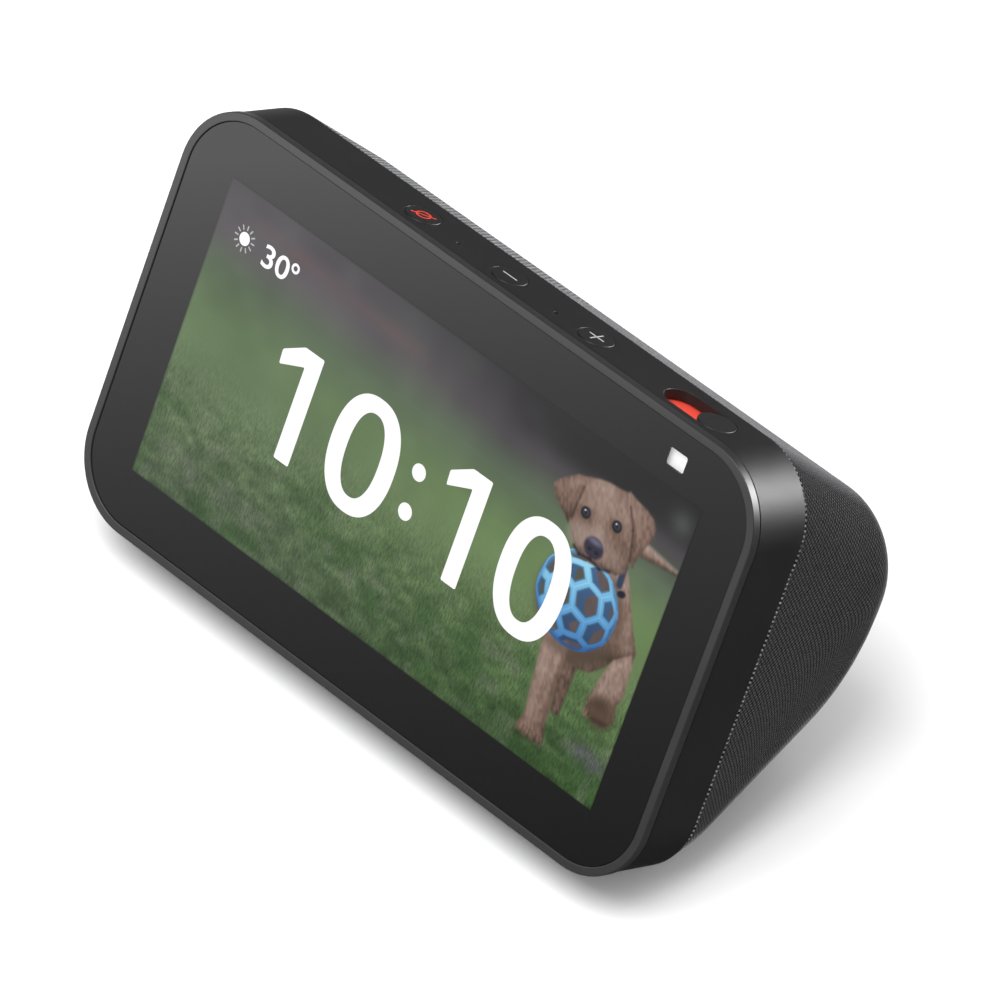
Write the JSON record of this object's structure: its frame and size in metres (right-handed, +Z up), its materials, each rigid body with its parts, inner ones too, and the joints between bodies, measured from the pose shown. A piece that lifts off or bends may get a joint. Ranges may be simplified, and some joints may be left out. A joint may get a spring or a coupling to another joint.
{
  "type": "smart display",
  "caption": "Small leaning touch display on a fabric-covered wedge body, with push buttons and a sliding camera shutter along the top edge.",
  "frame": {"origin": "middle of the whole object's footprint, on the surface it stands on", "axes": "+X to the right of someone facing the screen, +Y towards the rear, +Z up; the screen faces -Y and leans back 25 degrees"},
  "size_m": [0.147, 0.073, 0.0861],
  "materials": {
    "cover_glass": "clear glass with a black printed border",
    "trim_plastic": "satin",
    "frame_plastic": "fine matte",
    "charcoal_fabric": "woven charcoal",
    "shell_plastic": "matte",
    "foot_rubber": "matte",
    "button_plastic": "satin",
    "knob_plastic": "satin",
    "white_plastic": "gloss",
    "coral_plastic": "matte",
    "spring_steel": "bright",
    "foam_seal": "soft",
    "lcd_panel": "gloss",
    "sheet_metal": "satin",
    "board_green": "solder mask",
    "black_plastic": "matte",
    "lens_glass": "coated lens",
    "heat_aluminium": "satin",
    "cone_paper": "matte"
  },
  "bodies": {
    "root": {"backlight_unit": "white_plastic", "base_plate": "shell_plastic", "bezel_ring": "trim_plastic", "board_connectors": "white_plastic", "board_screws": "spring_steel", "button_board": "board_green", "camera_lens": "lens_glass", "camera_module": "black_plastic", "cover_glass": "cover_glass", "detent_spring": "spring_steel", "display_plate": "sheet_metal", "fabric_wrap": "charcoal_fabric", "glass_gasket": "foam_seal", "heat_spreader": "heat_aluminium", "inner_chassis": "black_plastic", "lcd_panel": "lcd_panel", "main_board": "board_green", "main_frame": "frame_plastic", "microphone_seals": "foam_seal", "microphones": "sheet_metal", "mute_led": "white_plastic", "port_plate": "shell_plastic", "power_socket": "black_plastic", "power_socket_pin": "spring_steel", "rear_shell": "shell_plastic", "rubber_foot": "foot_rubber", "service_socket": "sheet_metal", "shield_can": "sheet_metal", "speaker_basket": "sheet_metal", "speaker_cone": "cone_paper", "speaker_dust_cap": "cone_paper", "speaker_enclosure": "black_plastic", "speaker_gasket": "foam_seal", "speaker_magnet": "spring_steel", "speaker_surround": "foot_rubber", "tact_switches": "sheet_metal", "thermal_pad": "foam_seal", "wifi_antennas": "board_green"},
    "mute_key": {"mute_button": "button_plastic"},
    "volume_down_key": {"volume_down_button": "button_plastic"},
    "volume_up_key": {"volume_up_button": "button_plastic"},
    "shutter_slider": {"shutter_knob": "knob_plastic", "shutter_shade": "white_plastic", "shutter_flag": "coral_plastic"}
  },
  "joints": [
    {"name": "mute_press", "type": "slide", "parent": "root", "child": "mute_key", "axis": [0, -0.4226, -0.9063], "range_m": [0, 0.00035], "stiffness_N_per_m": 1500},
    {"name": "volume_down_press", "type": "slide", "parent": "root", "child": "volume_down_key", "axis": [0, -0.4226, -0.9063], "range_m": [0, 0.00035], "stiffness_N_per_m": 1500},
    {"name": "volume_up_press", "type": "slide", "parent": "root", "child": "volume_up_key", "axis": [0, -0.4226, -0.9063], "range_m": [0, 0.00035], "stiffness_N_per_m": 1500},
    {"name": "shutter_slide", "type": "slide", "parent": "root", "child": "shutter_slider", "axis": [1, 0, 0], "range_m": [-0.0083, 0]}
  ]
}
